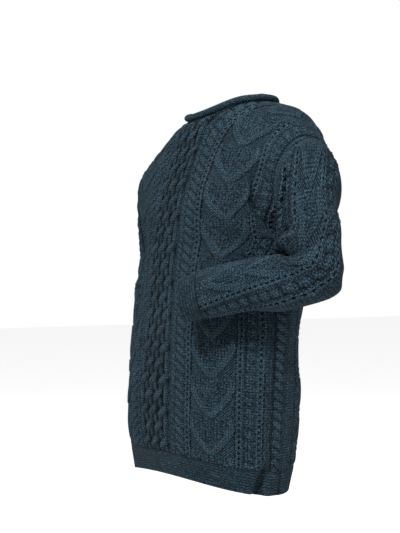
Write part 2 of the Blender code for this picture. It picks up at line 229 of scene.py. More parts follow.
STITCH_WIDTH, STITCH_HEIGHT = 0.0058, 0.0049
FADE_AT_SEAM = 0.005

# Painted shade in the hollows: 1 on top of a strand, 0 in the deepest gap.
GROUND_SHADE_TONE, ARM_SHADE_TONE = 0.62, 0.9
# More painted shade on the ground beside a heart's arms and on a line by the left side seam, less on
# moss.
BESIDE_ARM_SHADE, MOSS_LESS_SHADE, SIDE_LINE_SHADE = 0.22, 0.10, 0.45

# How much of each column is irregular, like moss stitch.
PLAIN_MOSS, LUMP_MOSS = 0.5, 0.8

# How the columns of the mesh are spread: each stretch of the pattern from the plait outwards, and
# into how many columns it is cut.
FRONT_STRETCHES = (
    (0.0000, 0.0465, 22),
    (0.0465, 0.0525, 3),
    (0.0525, 0.0645, 6),
    (0.0645, 0.0915, 12),
    (0.0915, 0.1050, 8),
    (0.1050, 0.1970, 37),
    (0.1970, 0.2110, 8),
)
FRONT_OUTER = (36, 36)
LOWER_MESH_ROWS = 264
UPPER_MESH_ROWS = 72
LOWER_MESH_TOP = 0.600


def unit(vectors):
    """The directions of one or many vectors."""
    vectors = np.asarray(vectors, float)
    return vectors / np.linalg.norm(vectors, axis=-1, keepdims=True)


def curve_through(keys, values, at):
    """The values at each place, on a smooth curve through those at the keys."""
    keys, values, at = np.asarray(keys), np.asarray(values), np.atleast_1d(at)
    shape = (-1,) + (1,) * (values.ndim - 1)
    steps = np.diff(keys)
    slopes = np.diff(values, axis=0) / steps.reshape(shape)
    before, after = steps[:-1].reshape(shape), steps[1:].reshape(shape)
    inner = (slopes[:-1] * after + slopes[1:] * before) / (before + after)
    tangents = np.concatenate([slopes[:1], inner, slopes[-1:]])
    i = np.clip(np.searchsorted(keys, at, side="right") - 1, 0, len(steps) - 1)
    t = ((at - keys[i]) / steps[i]).reshape(shape)
    step = steps[i].reshape(shape)
    start = (1 + 2 * t) * (1 - t) ** 2 * values[i] + t * (1 - t) ** 2 * step * tangents[i]
    end = t * t * (3 - 2 * t) * values[i + 1] + t * t * (t - 1) * step * tangents[i + 1]
    return start + end


ROW_POINTS = 65


def half_rows(table, side, alongs):
    """The points of half a knitted row at each height, from the middle of a piece to its side."""
    values = np.array(table, float)
    keys = values[:, 0]
    rows = curve_through(keys, values, alongs)

    # The side runs smoothly up to the underarm, and anew from there along the armhole.
    low, high = values[keys <= UNDERARM], values[keys >= UNDERARM]
    below = (alongs <= UNDERARM)[:, None]
    edges = np.where(
        below, curve_through(low[:, 0], low, alongs), curve_through(high[:, 0], high, alongs)
    )
    mid_y, mid_z, mid_pull = rows[:, 1], rows[:, 2], rows[:, 6]
    edge, edge_pull, turn, drop = edges[:, 3:6], rows[:, 7], np.radians(edges[:, 8]), edges[:, 9]
    zero = np.zeros(len(alongs))
    middle = np.stack([zero, mid_y, mid_z], axis=1)
    heading = np.stack([np.sin(turn), -side * np.cos(turn), -drop], axis=1)
    depth = np.abs(edge[:, 1] - mid_y) * np.cos(turn) + edge[:, 0] * np.sin(turn) / 2
    middle_handle = middle + np.stack([mid_pull * edge[:, 0], zero, zero], axis=1)
    edge_handle = edge - heading * (edge_pull * depth)[:, None]
    t = np.linspace(0, 1, ROW_POINTS)[None, :, None]
    return (
        (1 - t) ** 3 * middle[:, None]
        + 3 * t * (1 - t) ** 2 * middle_handle[:, None]
        + 3 * t * t * (1 - t) * edge_handle[:, None]
        + t**3 * edge[:, None]
    )


def spread_evenly(lines, shares):
    """The points of each line at the shares of its whole length."""
    steps = np.linalg.norm(np.diff(lines, axis=1), axis=2)
    lengths = np.concatenate([np.zeros((len(lines), 1)), np.cumsum(steps, axis=1)], axis=1)
    spread = [
        [np.interp(shares * length[-1], length, line[:, k]) for k in range(3)]
        for line, length in zip(lines, lengths)
    ]
    return np.array(spread).transpose(0, 2, 1)


def fold_heights(folds, asides, along):
    """How far the folds raise each point; asides gives its way across from each fold's middle."""
    total = np.zeros(np.broadcast(along, asides[0]).shape)
    for fold, aside in zip(folds, asides):
        up = along - fold.along
        lean = np.radians(fold.lean)
        lengthwise = up * np.cos(lean) + aside * np.sin(lean)
        crosswise = aside * np.cos(lean) - up * np.sin(lean)
        reach = (lengthwise / fold.length) ** 2 + (crosswise / fold.width) ** 2
        total += fold.height * np.maximum(1 - reach, 0) ** 2
    return total


def smooth_step(value):
    """Rises smoothly from 0 to 1."""
    value = np.clip(value, 0, 1)
    return value * value * (3 - 2 * value)


CHART_STEP = 0.003


def panel_chart(table, side, folds):
    """A chart of a piece's smooth outer face: its points and normals by height and way across."""
    alongs = np.linspace(0, SHOULDER, round(SHOULDER / CHART_STEP) + 1)
    half = np.linspace(0, 1, round(PANEL_HALF / CHART_STEP) + 1)
    points = spread_evenly(half_rows(table, side, alongs), half)
    points = np.concatenate([points[:, :0:-1] * (-1, 1, 1), points], axis=1)
    across = np.concatenate([-half[:0:-1], half])
    along = alongs[:, None]
    rise = smooth_step((along - TILT_START) / (SHOULDER - TILT_START))
    points[:, :, 2] += NECK_TILT * points[:, :, 0] * (1 - across**2) * rise
    heights = fold_heights(folds, [(across - fold.across) * PANEL_HALF for fold in folds], along)
    outward = points * (1, 1, 0) - (0, BODY_AXIS_Y, 0)
    points += unit(outward) * (heights * (1 - across**EDGE_POWER) ** 2)[:, :, None]
    up, left = np.gradient(points, axis=(0, 1))
    normals = unit(np.cross(left, up)) * -side
    return across, alongs, points, normals


def read_chart(chart, across, along):
    """The points and normals of a chart at each place."""
    acrosses, alongs, points, normals = chart[:4]
    x = (across - acrosses[0]) / (acrosses[-1] - acrosses[0]) * (len(acrosses) - 1)
    y = (along - alongs[0]) / (alongs[-1] - alongs[0]) * (len(alongs) - 1)
    i = np.clip(np.floor(y).astype(int), 0, len(alongs) - 2)
    j = np.clip(np.floor(x).astype(int), 0, len(acrosses) - 2)
    u, v = (x - j)[..., None], (y - i)[..., None]
    found = []
    for values in (points, normals):
        low = values[i, j] * (1 - u) + values[i, j + 1] * u
        high = values[i + 1, j] * (1 - u) + values[i + 1, j + 1] * u
        found.append(low * (1 - v) + high * v)
    return found[0], unit(found[1])


def round_over(distance, half):
    """The height of a round strand, 1 along its middle and 0 from half its width outwards."""
    return np.sqrt(np.clip(1 - (distance / half) ** 2, 0, 1))


def soft_bump(distance, half):
    """A soft mound, 1 at its middle and 0 from half its width outwards."""
    return np.clip(1 - (distance / half) ** 2, 0, 1) ** 2


ROPE_ROUNDNESS, ROPE_WAIST = 0.6, 0.20


def rope(aside, along, column):
    """Two strands twisted round each other."""
    turn = (along + column.lean * aside) / column.repeat
    strand = ROPE_WAIST + (1 - ROPE_WAIST) * np.abs(np.sin(np.pi * turn))
    return round_over(aside, column.half) ** ROPE_ROUNDNESS * strand


RAIL_SWAY, RAIL_SLANT = 0.0003, 0.016
RAIL_HEIGHT, RAIL_NOTCH = 0.92, 0.18
RUNG_HALF, RUNG_HEIGHT = 0.0040, 0.55
HOLE_HALF, HOLE_DEPTH = 0.0030, 0.0014
HOLE_OPEN, HOLE_PULSE = 0.20, 0.75


def ladder(aside, along):
    """Two rails with a row of small holes between them; also where the holes are."""
    wave = np.cos(2 * np.pi * along / LADDER_REPEAT)
    rail = round_over(np.abs(aside) - LADDER_RAIL - RAIL_SWAY * wave, LADDER_RAIL_HALF)
    slant = np.cos(2 * np.pi * (along / LADDER_REPEAT + np.abs(aside) / RAIL_SLANT))
    rung = RUNG_HEIGHT * soft_bump(aside, RUNG_HALF) * (1 - wave)
    hole = soft_bump(aside, HOLE_HALF) * np.clip(HOLE_OPEN + HOLE_PULSE * wave, 0, 1)
    return np.maximum(rail * (RAIL_HEIGHT - RAIL_NOTCH * slant), rung), hole


# The plait's strands, in shares of a slot: half the width of a strand that lies on top, how much it
# swells at the crossing, and half the width of one below and of one at the edge. Then their heights.
OVER_HALF, OVER_SWELL, UNDER_HALF, EDGE_HALF = 0.42, 0.36, 0.44, 0.45
OVER_LOW, UNDER_HIGH, UNDER_DIP, EDGE_HIGH = 0.42, 0.62, 0.45, 0.75
STRAND_ROUNDNESS = 1.3
SWAY_SHARE = 0.85
PLAIT_FLOOR = 0.04


def plait(aside, along):
    """Six strands plaited, the ones that climb to the left always on top and fat at the crossing."""
    crossing = np.round(along / PLAIT_CROSSING)
    passing = (along / PLAIT_CROSSING - crossing) / 0.5
    sway = np.clip(passing / SWAY_SHARE, -1, 1)
    sway = sway * (1.5 - 0.5 * sway * sway)
    fat = np.cos(np.pi / 2 * passing) ** 2
    odd = crossing % 2
    place = aside / PLAIT_SLOT + 3 - odd
    strands = np.zeros(aside.shape)
    for pair in range(3):
        beside = place - 2 * pair - 1
        over = round_over(beside - 0.5 * sway, OVER_HALF + OVER_SWELL * fat) ** STRAND_ROUNDNESS
        over = over * (OVER_LOW + (1 - OVER_LOW) * fat)
        under = round_over(beside + 0.5 * sway, UNDER_HALF) ** STRAND_ROUNDNESS
        under = under * (UNDER_HIGH - UNDER_DIP * fat)
        strands = np.maximum(strands, np.maximum(over, under) * (pair < 3 - odd))
    edge_strand = round_over(np.abs(aside) / PLAIT_SLOT - 2.5, EDGE_HALF) ** STRAND_ROUNDNESS * odd
    return PLAIT_FLOOR + (1 - PLAIT_FLOOR) * np.maximum(strands, EDGE_HIGH * edge_strand)


# A heart's arms: how soon they reach their full spread, how steeply they part, and where the two
# ridges of an arm lie in it and how wide each is. Then the soft edge of the moss, the width of the
# painted shade on the ground beside an arm and its soft edge, and how far the panel reaches past
# its arms.
ARM_SPREADS_BY, ARM_PARTING = 1.06, 1.6
ARM_RIDGE_OFF, ARM_RIDGE_HALF = 0.48, 0.56
MOSS_EDGE, BESIDE_WIDTH, BESIDE_EDGE, HEARTS_MARGIN = 0.003, 0.0028, 0.002, 0.003


def hearts(aside, along, half, arm_half):
    """Nested hearts: double arms that rise and part from a point; where moss fills them; and where
    the ground beside the arms is."""
    lift = ((along - HEARTS_START) / HEARTS_REPEAT) % 1
    spread = half * np.sin(np.pi / 2 * np.minimum(lift * ARM_SPREADS_BY, 1))
    parting = half / HEARTS_REPEAT * ARM_PARTING * np.cos(np.pi / 2 * lift)
    off_arm = (np.abs(aside) - spread) / np.sqrt(1 + parting**2)
    arm = np.maximum(
        round_over(off_arm - ARM_RIDGE_OFF * arm_half, ARM_RIDGE_HALF * arm_half),
        round_over(off_arm + ARM_RIDGE_OFF * arm_half, ARM_RIDGE_HALF * arm_half),
    )
    inside = smooth_step((spread - np.abs(aside)) / MOSS_EDGE)
    beside = smooth_step((arm_half + BESIDE_WIDTH - np.abs(off_arm)) / BESIDE_EDGE)
    within = np.abs(aside) < half + arm_half
    return arm * within, inside * (1 - arm) * within, beside * within


LUMP_LEAN, LUMP_WAIST, LUMP_ROUNDNESS = 0.35, 0.30, 0.7
LUMP_STRAND_SLANT, LUMP_STRAND_DEPTH = 0.012, 0.16


def lumps(aside, along):
    """A column of round lumps, each crossed by a slanting strand."""
    turn = (along + LUMP_LEAN * aside) / LUMPS_REPEAT
    swell = np.abs(np.sin(np.pi * turn)) ** LUMP_ROUNDNESS
    mound = round_over(aside, LUMPS_HALF) * (LUMP_WAIST + (1 - LUMP_WAIST) * swell)
    strand = np.cos(2 * np.pi * (2 * turn + aside / LUMP_STRAND_SLANT))
    return mound * (1 - LUMP_STRAND_DEPTH + LUMP_STRAND_DEPTH * strand)


class Relief:
    """The height of a pattern, its painted shade tone, its moss and its holes, laid down column by
    column.
    """

    def __init__(self, shape):
        self.height = np.zeros(shape)
        self.tone = np.full(shape, GROUND_SHADE_TONE)
        self.moss = np.zeros(shape)
        self.holes = np.zeros(shape)

    def lay(self, where, profile, relief, moss=0.0):
        """Lays a column that stands out by relief where its profile is 1, with painted shade that
        follows the profile.
        """
        self.height = np.where(where, profile * relief, self.height)
        self.tone = np.where(where, profile, self.tone)
        self.moss = np.where(where, moss, self.moss)

    def lay_hearts(self, aside, along, half, arm_half):
        """Lays a panel of hearts."""
        arm, inside, beside = hearts(aside, along, half, arm_half)
        seed = np.cos(np.pi * aside / STITCH_WIDTH) * np.cos(np.pi * along / STITCH_HEIGHT)
        field = inside * (MOSS_GROUND + MOSS_RELIEF * np.abs(seed))
        where = np.abs(aside) < half + arm_half + HEARTS_MARGIN
        self.height = np.where(where, np.maximum(arm * HEART_RELIEF, field), self.height)
        # Painted shade on the flat ground: more beside the arms, less on the moss inside them.
        flat = GROUND_SHADE_TONE - BESIDE_ARM_SHADE * beside * (1 - inside) + MOSS_LESS_SHADE * inside
        self.tone = np.where(where, np.maximum(ARM_SHADE_TONE * arm, flat), self.tone)
        self.moss = np.where(where, inside, self.moss)

    def lay_ladder(self, aside, along):
        """Lays a ladder."""
        rail, hole = ladder(aside, along)
        where = np.abs(aside) < LADDER_RAIL + LADDER_RAIL_HALF
        self.lay(where, rail, LADDER_RELIEF)
        self.height -= np.where(where, HOLE_DEPTH * hole, 0)
        self.holes = np.where(where, hole, self.holes)

    def lay_rope(self, across, along, column):
        """Lays a rope or a twist."""
        off = across - column.middle
        self.lay(np.abs(off) < column.half, rope(off, along, column), column.relief)

    def lay_lumps(self, aside, along, ridge, moss):
        """Lays a column of lumps on a ridge, whose height is a share of theirs."""
        lump = ridge + (1 - ridge) * lumps(aside, along)
        self.lay(np.abs(aside) < LUMPS_HALF, lump, LUMPS_RELIEF, moss)

    def lay_plain(self, where, moss):
        """Lays a plain stretch."""
        self.lay(where, np.full(where.shape, GROUND_SHADE_TONE), PLAIN_RELIEF, moss)


BODY_LUMP_RIDGE = 0.35


def body_pattern(across, along, side_columns):
    """The relief of a body piece; the front's wide left edge has side columns as well."""
    aside = np.abs(across)
    relief = Relief(aside.shape)
    relief.lay_hearts(aside - HEARTS_MIDDLE, along, HEARTS_HALF, HEART_ARM_HALF)
    plain_from = SIDE_LADDER + PLAIN_START if side_columns else LUMPS_MIDDLE + LUMPS_HALF
    relief.lay_plain(aside > plain_from, PLAIN_MOSS)
    relief.height -= SIDE_SEAM_DEPTH * soft_bump(aside - SIDE_SEAM, SIDE_SEAM_HALF)
    relief.lay(aside < 3 * PLAIT_SLOT, plait(across, along), PLAIT_RELIEF)
    relief.lay_rope(aside, along, TWIST)
    relief.lay_rope(aside, along, BROAD_ROPE)
    relief.lay_lumps(aside - LUMPS_MIDDLE, along, BODY_LUMP_RIDGE, LUMP_MOSS)
    relief.lay_ladder(aside - INNER_LADDER, along)
    relief.lay_ladder(aside - OUTER_LADDER, along)
    if side_columns:
        relief.lay_ladder(aside - SIDE_LADDER, along)
        # A line of painted shade beside the side seam on the left side.
        relief.tone -= SIDE_LINE_SHADE * soft_bump(across - SIDE_SHADE_LINE, SIDE_SHADE_LINE_HALF)
        relief.lay_rope(across, along, SIDE_ROPE)
    return relief


def mesh_columns(stretches, outer, right_edge, left_edge):
    """The places of a mesh's columns, in metres from the middle of the pattern."""
    parts = [np.linspace(start, end, count + 1)[:-1] for start, end, count in stretches]
    last_end = stretches[-1][1]
    right = np.concatenate(parts + [np.linspace(last_end, right_edge, outer[0] + 1)])
    left = np.concatenate(parts + [np.linspace(last_end, left_edge, outer[1] + 1)])
    return np.concatenate([-right[:0:-1], left])


LEFT_MIDDLES = (INNER_LADDER, HEARTS_MIDDLE, OUTER_LADDER)


def column_places(columns, along):
    """Where each column of the pattern lies across the piece, at each height."""
    table = np.array(columns)
    found = curve_through(table[:, 0], table[:, 1:], along)
    right_edge, left_edge = found[:, 7], found[:, 8]
    one = np.ones(len(found))
    places = np.column_stack([-one, found[:, :7], one])
    middles = [-middle for middle in LEFT_MIDDLES[::-1]] + [0, *LEFT_MIDDLES]
    marks = np.column_stack([-right_edge, np.tile(middles, (len(found), 1)), left_edge])
    return places, marks


# The neckline cuts the columns off at heights that depend on how far across they have come, so the
# two are settled together, by turns, on a table of the upper rows.
NECK_TABLE_ROWS = 76
SETTLING_TURNS = 40


def panel_mesh_places(columns, stretches, outer, drop):
    """The pattern place, height and way across of every point of a body piece's mesh."""
    count = 2 * sum(cuts for start, end, cuts in stretches) + sum(outer) + 1
    lower = np.linspace(HEM_BAND, LOWER_MESH_TOP, LOWER_MESH_ROWS + 1)
    upper = np.linspace(0, 1, UPPER_MESH_ROWS + 1)[1:]

    def row_marks(along):
        """The pattern places of one row of the mesh, and their ways across the piece."""
        places, marks = column_places(columns, along)
        rows = []
        for place, mark in zip(places, marks):
            metres = mesh_columns(stretches, outer, -mark[0], mark[-1])
            rows.append((metres, np.interp(metres, mark, place)))
        return np.array(rows)

    tops = np.full(count, SHOULDER)
    table_alongs = np.linspace(LOWER_MESH_TOP, SHOULDER, NECK_TABLE_ROWS)
    table_rows = row_marks(table_alongs)
    for _ in range(SETTLING_TURNS):
        across = np.array(
            [np.interp(tops[j], table_alongs, table_rows[:, 1, j]) for j in range(count)]
        )
        inside = np.maximum(1 - (across / NECK_SHARE) ** 2, 0)
        tops = 0.5 * tops + 0.5 * (SHOULDER - drop * np.sqrt(inside))
    lower_rows = row_marks(lower)
    along = np.vstack(
        [
            np.repeat(lower[:, None], count, axis=1),
            LOWER_MESH_TOP + upper[:, None] * (tops - LOWER_MESH_TOP),
        ]
    )
    pattern, across = [], []
    for k, values in ((0, pattern), (1, across)):
        values.extend(lower_rows[:, k])
        high = [
            [np.interp(at[j], table_alongs, table_rows[:, k, j]) for j in range(count)]
            for at in along[len(lower) :]
        ]
        values.extend(high)
    return np.array(pattern), along, np.array(across)


INNER_STEP = 4

# Points closer than this are one point.
SAME_PLACE = 0.00002


def lay_grid(shape, place, points, step, columns):
    """Adds a sheet of faces through rows of points, and notes where each one's marks are kept."""
    high, wide = points.shape[:2]
    made = bmesh.ops.create_grid(shape, x_segments=wide - 1, y_segments=high - 1, size=1)
    for vert in made["verts"]:
        column = round((vert.co.x + 1) / 2 * (wide - 1))
        row = round((vert.co.y + 1) / 2 * (high - 1))
        vert.co = points[row, column]
        vert[place] = row * step * columns + column * step
    return made["verts"]


def finish_piece(name, shape, place, marks):
    """Turns the faces of a closed shape outwards, and makes a marked piece of cloth of it."""
    bmesh.ops.recalc_face_normals(shape, faces=shape.faces)
    if shape.calc_volume(signed=True) < 0:
        bmesh.ops.reverse_faces(shape, faces=shape.faces)
    for face in shape.faces:
        face.smooth = True
    places = np.array([vert[place] for vert in shape.verts])
    mesh = bpy.data.meshes.new(name)
    shape.to_mesh(mesh)
    shape.free()
    # The stitch marks hold the moss, the painted shade tone and the holes of each point.
    for attribute_name, values in (("pattern", marks[:3]), ("stitch", marks[3:])):
        attribute = mesh.attributes.new(attribute_name, "FLOAT_VECTOR", "POINT")
        flat = np.stack([given.ravel()[places] for given in values], axis=1)
        attribute.data.foreach_set("vector", flat.astype(np.float32).ravel())
    piece = bpy.data.objects.new(name, mesh)
    bpy.context.scene.collection.objects.link(piece)
    return piece


def thin_shell(name, points, normals, relief, marks, closed):
    """Makes a piece of cloth: its knitted outer face, a plain inner face, and the rims between."""
    knitted = points + normals * relief[:, :, None]
    plain = knitted - normals * (CLOTH + relief)[:, :, None]
    rows, columns = knitted.shape[:2]
    shape = bmesh.new()
    place = shape.verts.layers.int.new("place")
    outer = lay_grid(shape, place, knitted, 1, columns)
    if closed:
        bmesh.ops.remove_doubles(shape, verts=outer, dist=SAME_PLACE)
    inner = lay_grid(shape, place, plain[::INNER_STEP, ::INNER_STEP], INNER_STEP, columns)
    if closed:
        bmesh.ops.remove_doubles(shape, verts=inner, dist=SAME_PLACE)
    inside = {face for vert in inner if vert.is_valid for face in vert.link_faces}
    bmesh.ops.reverse_faces(shape, faces=list(inside))
    rims = [edge for edge in shape.edges if edge.is_boundary]
    if closed:
        first = [edge for edge in rims if edge.verts[0][place] // columns < rows // 2]
        last = [edge for edge in rims if edge.verts[0][place] // columns >= rows // 2]
        bmesh.ops.bridge_loops(shape, edges=first)
        bmesh.ops.bridge_loops(shape, edges=last)
    else:
        bmesh.ops.bridge_loops(shape, edges=rims)
    return finish_piece(name, shape, place, marks)


# The yarn's colours, from its darkest fibres to its palest, and that of the flecks in it.
YARN_COLOURS = (
    (0.30, (0.009, 0.023, 0.035)),
    (0.50, (0.036, 0.073, 0.104)),
    (0.70, (0.086, 0.153, 0.206)),
)
FLECK_COLOUR = (0.16, 0.15, 0.12, 1)
FLECKS_OVER, FLECK_STRENGTH = 0.765, 0.5
SHEEN_TINT = (0.55, 0.70, 0.80, 1)
STITCH_DEPTH = 0.0022

# How a stitch is drawn, in shares of it: how far it wanders, how steep its legs are, how sharp the
# gaps between them are, and how much the seed stitch and the loose fibres add.
STITCH_WANDER = 0.9
LEG_SLANT, LEG_GAP, SIDE_GAP = 1.5, 7, 9
KNIT_HEIGHT, KNIT_FLOOR = 1.5, -0.10
SEED_HEIGHT, SEED_GRAIN, SEED_FLOOR = 0.38, 1.5, -0.47
FIBRES = 1.1

# How much painted shade the cloth gets down in its hollows, between its stitches and in its holes,
# and how much painted light on the tops of its stitches.
SHADE_TONE_LIFT, STITCH_SHADE_CONTRAST, STITCH_SHADE_FLOOR = 0.08, 1.6, 0.12
DARKEST_PAINTED_SHADE, BRIGHTEST_PAINTED_LIGHT, SHADE_POWER = 0.05, 1.40, 1.8
HOLE_SHADE = 0.80


def wool(name, shade, ridge, bars):
    """Heathered wool: dark blue-green yarn with paler fibres, stitch by stitch."""
    material = bpy.data.materials.new(name)
    material.use_nodes = True
    tree = material.node_tree
    shader = tree.nodes["Principled BSDF"]
    shader.inputs["Roughness"].default_value = 0.92
    shader.inputs["Specular IOR Level"].default_value = 0.10
    shader.inputs["Sheen Weight"].default_value = 0.06
    shader.inputs["Sheen Roughness"].default_value = 0.45
    shader.inputs["Sheen Tint"].default_value = SHEEN_TINT

    def maths(kind, one, other=0.0, third=None):
        """One step of arithmetic on numbers."""
        step = tree.nodes.new("ShaderNodeMath")
        step.operation = kind
        for socket, given in zip(step.inputs, (one, other, third)):
            if isinstance(given, (int, float)):
                socket.default_value = given
            elif given is not None:
                tree.links.new(given, socket)
        return step.outputs[0]

    def speckle(scale, detail, seed):
        """Noise over the piece, at so many grains to the metre."""
        grain = tree.nodes.new("ShaderNodeTexNoise")
        grain.noise_dimensions = "4D"
        grain.inputs["Scale"].default_value = scale
        grain.inputs["Detail"].default_value = detail
        grain.inputs["W"].default_value = seed
        tree.links.new(where.outputs["Object"], grain.inputs["Vector"])
        return grain.outputs["Fac"]

    where = tree.nodes.new("ShaderNodeTexCoord")
    marks = []
    for attribute in ("pattern", "stitch"):
        reader = tree.nodes.new("ShaderNodeAttribute")
        reader.attribute_name = attribute
        split = tree.nodes.new("ShaderNodeSeparateXYZ")
        tree.links.new(reader.outputs["Vector"], split.inputs[0])
        marks.append(split.outputs)
    # The stitch marks carry the moss, the painted shade tone of each point, and its holes.
    (aside, along, plainness), (moss, depth, hole) = marks

    # The plain side of a stitch is a V of two slanting legs.
    across_stitch = maths("DIVIDE", aside, STITCH_WIDTH)
    across_stitch = maths("MULTIPLY_ADD", speckle(170, 1, seed=2.0), STITCH_WANDER, across_stitch)
    up_stitch = maths("DIVIDE", along, STITCH_HEIGHT)
    up_stitch = maths("MULTIPLY_ADD", speckle(170, 1, seed=3.0), STITCH_WANDER, up_stitch)
    off_middle = maths("ABSOLUTE", maths("SUBTRACT", maths("FRACT", across_stitch), 0.5))
    leg = maths("FRACT", maths("SUBTRACT", up_stitch, maths("MULTIPLY", off_middle, LEG_SLANT)))
    leg = maths("MULTIPLY", maths("MULTIPLY", leg, 4), maths("SUBTRACT", 1, leg))
    gap = maths("MINIMUM", 1, maths("MULTIPLY", off_middle, LEG_GAP))
    side_gap = maths("MULTIPLY", maths("SUBTRACT", 0.5, off_middle), SIDE_GAP)
    knit = maths("MULTIPLY", maths("MULTIPLY", leg, gap), maths("MINIMUM", 1, side_gap))
    knit = maths("MULTIPLY_ADD", knit, KNIT_HEIGHT, KNIT_FLOOR)

    # Its purl side is a bar across, and moss stitch sets the two by turns, unevenly.
    round_up = maths("MULTIPLY", up_stitch, 2 * np.pi)
    round_across = maths("MULTIPLY", across_stitch, 2 * np.pi)
    rising = maths("COSINE", maths("SUBTRACT", round_up, round_across))
    falling = maths("COSINE", maths("ADD", round_up, round_across))
    bar = maths("MULTIPLY_ADD", rising, bars[0], 0.5)
    bar = maths("MULTIPLY_ADD", falling, bars[1], bar)
    seed_turn = maths("COSINE", maths("MULTIPLY", across_stitch, np.pi))
    seed_rise = maths("COSINE", maths("MULTIPLY", up_stitch, np.pi))
    seeds = maths("ABSOLUTE", maths("MULTIPLY", seed_turn, seed_rise))
    uneven = maths("MULTIPLY_ADD", speckle(330, 1, seed=6.0), SEED_GRAIN, SEED_FLOOR)
    seeds = maths("MULTIPLY_ADD", seeds, SEED_HEIGHT, uneven)
    stitches = maths("MULTIPLY_ADD", maths("SUBTRACT", knit, bar), plainness, bar)
    stitches = maths("MULTIPLY_ADD", maths("SUBTRACT", seeds, stitches), moss, stitches)
    fibres = maths("ADD", speckle(900, 2, seed=1.0), speckle(330, 1, seed=7.0))
    stitches = maths("MULTIPLY_ADD", maths("SUBTRACT", fibres, 1), FIBRES, stitches)

    bump = tree.nodes.new("ShaderNodeBump")
    bump.inputs["Strength"].default_value = ridge
    bump.inputs["Distance"].default_value = STITCH_DEPTH
    tree.links.new(stitches, bump.inputs["Height"])
    tree.links.new(bump.outputs["Normal"], shader.inputs["Normal"])

    # The yarn: dark and pale fibres spun together, with painted shade down between the stitches, in
    # the hollows and in the holes, and painted light on the stitch tops.
    fine = maths("MULTIPLY", speckle(520, 3, seed=4.0), 0.75)
    heather = maths("MULTIPLY_ADD", speckle(28, 3, seed=8.0), 0.25, fine)
    yarn = tree.nodes.new("ShaderNodeValToRGB")
    yarn.color_ramp.elements.new(0.5)
    for fibre, (position, colour) in zip(yarn.color_ramp.elements, YARN_COLOURS):
        fibre.position = position
        fibre.color = tuple(part * shade for part in colour) + (1,)
    tree.links.new(heather, yarn.inputs["Fac"])
    painted_shade = maths("ADD", depth, SHADE_TONE_LIFT)
    stitch_shade = maths("MULTIPLY_ADD", stitches, STITCH_SHADE_CONTRAST, STITCH_SHADE_FLOOR)
    painted_shade = maths("MULTIPLY", painted_shade, stitch_shade)
    painted_shade = maths("MINIMUM", maths("MAXIMUM", painted_shade, DARKEST_PAINTED_SHADE), BRIGHTEST_PAINTED_LIGHT)
    painted_shade = maths("POWER", painted_shade, SHADE_POWER)
    hole_shade = maths("SUBTRACT", 1, maths("MULTIPLY", hole, HOLE_SHADE))
    painted_shade = maths("MULTIPLY", painted_shade, hole_shade)
    shaded_yarn = tree.nodes.new("ShaderNodeMix")
    shaded_yarn.data_type = "RGBA"
    shaded_yarn.blend_type = "MULTIPLY"
    shaded_yarn.inputs["Factor"].default_value = 1
    tree.links.new(yarn.outputs["Color"], shaded_yarn.inputs["A"])
    tree.links.new(painted_shade, shaded_yarn.inputs["B"])
    flecks = maths("GREATER_THAN", speckle(330, 0, seed=21.0), FLECKS_OVER)
    flecked = tree.nodes.new("ShaderNodeMix")
    flecked.data_type = "RGBA"
    flecked.inputs["B"].default_value = FLECK_COLOUR
    tree.links.new(maths("MULTIPLY", flecks, FLECK_STRENGTH), flecked.inputs["Factor"])
    tree.links.new(shaded_yarn.outputs["Result"], flecked.inputs["A"])
    tree.links.new(flecked.outputs["Result"], shader.inputs["Base Color"])
    return material


def dress(piece, node, material):
    """Puts a finished piece in the place of its solid."""
    piece.data.materials.append(material)
    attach(piece, "root")
    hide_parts(node)


SINK_AT_SEAM = 0.4
BODY_SINK = 0.6
KNIT_FROM, KNIT_RISE = 0.0004, 0.0008


def sunk_ground(fade, sink):
    """How far the ground lies below the smooth face, which is less along a seam."""
    return GROUND * (SINK_AT_SEAM + sink * fade)


def plain_side(height):
    """1 on the raised strands, which show the plain side of the stitches, and 0 on the ground."""
    return smooth_step((height - KNIT_FROM) / KNIT_RISE)


def panel_piece(name, chart, columns, stretches, outer, drop, side_columns):
    """Knits a body piece on its chart."""
    pattern, along, across = panel_mesh_places(columns, stretches, outer, drop)
    points, normals = read_chart(chart, across, along)
    laid = body_pattern(pattern, along, side_columns)
    side_way = (1 - np.abs(across)) * PANEL_HALF
    end_way = np.minimum(along[-1] - along, along - HEM_BAND)
    fade = smooth_step(np.minimum(side_way, end_way) / FADE_AT_SEAM)
    height = laid.height * fade
    marks = (np.abs(pattern), along, plain_side(height), laid.moss, laid.tone, laid.holes)
    relief = height - sunk_ground(fade, BODY_SINK)
    return thin_shell(name, points, normals, relief, marks, False)


front_chart = panel_chart(FRONT_ROWS, FRONT_SIDE, FRONT_FOLDS + FRONT_CREASES)
front = panel_piece(
    "knitted_front", front_chart, FRONT_COLUMNS, FRONT_STRETCHES, FRONT_OUTER, NECK_DROP_FRONT, True
)
cabled_wool = wool("cabled_wool", 0.90, 0.9, (0.34, 0.16))
dress(front, "front", cabled_wool)


